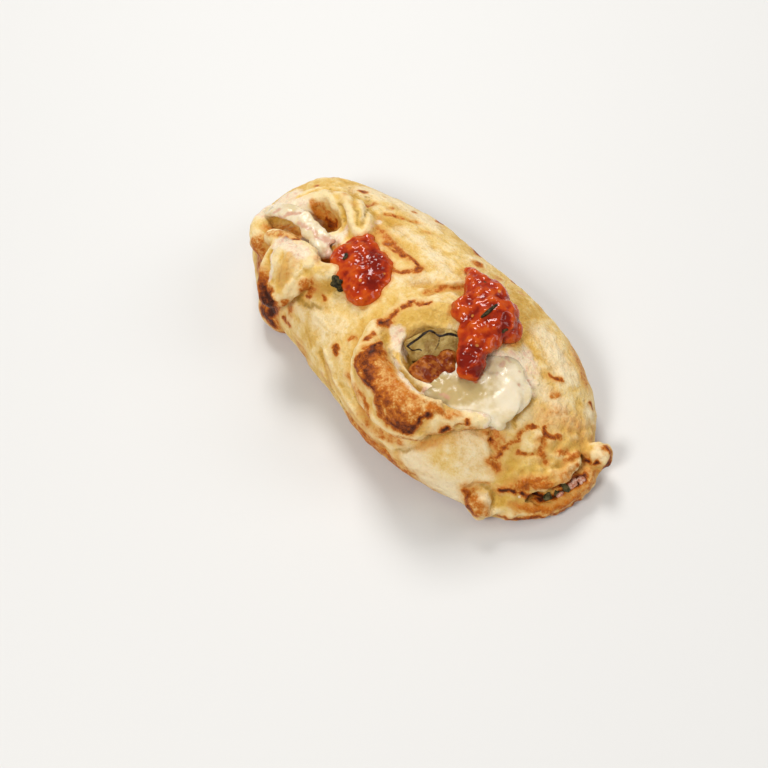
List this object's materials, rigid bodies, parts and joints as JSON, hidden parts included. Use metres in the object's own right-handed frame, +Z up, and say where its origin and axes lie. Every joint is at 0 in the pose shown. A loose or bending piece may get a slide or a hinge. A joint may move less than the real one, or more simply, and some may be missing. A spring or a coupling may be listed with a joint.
{
  "type": "stromboli",
  "caption": "Baked stromboli: a long folded loaf of dough with torn openings on top, filling, melted cheese and tomato sauce.",
  "frame": {"origin": "under the middle of the loaf's bounding box, on the surface that it rests on", "axes": "+X along the loaf from its closed end to its gaping end, +Y to the side of the larger sauce heap, +Z up"},
  "size_m": [0.2074, 0.0968, 0.0579],
  "materials": {
    "dough": "matte baked crust, browned in places",
    "filling": "moist, browned",
    "cheese": "glossy melted cheese",
    "sauce": "wet chunky tomato sauce",
    "aubergine": "moist, wilted",
    "sausage": "moist, browned"
  },
  "bodies": {
    "root": {"dough": "dough", "filling": "filling", "cheese_front": "cheese", "cheese_rear": "cheese", "sauce_front": "sauce", "sauce_rear": "sauce", "aubergine_slice": "aubergine", "sausage_piece": "sausage"}
  },
  "joints": []
}
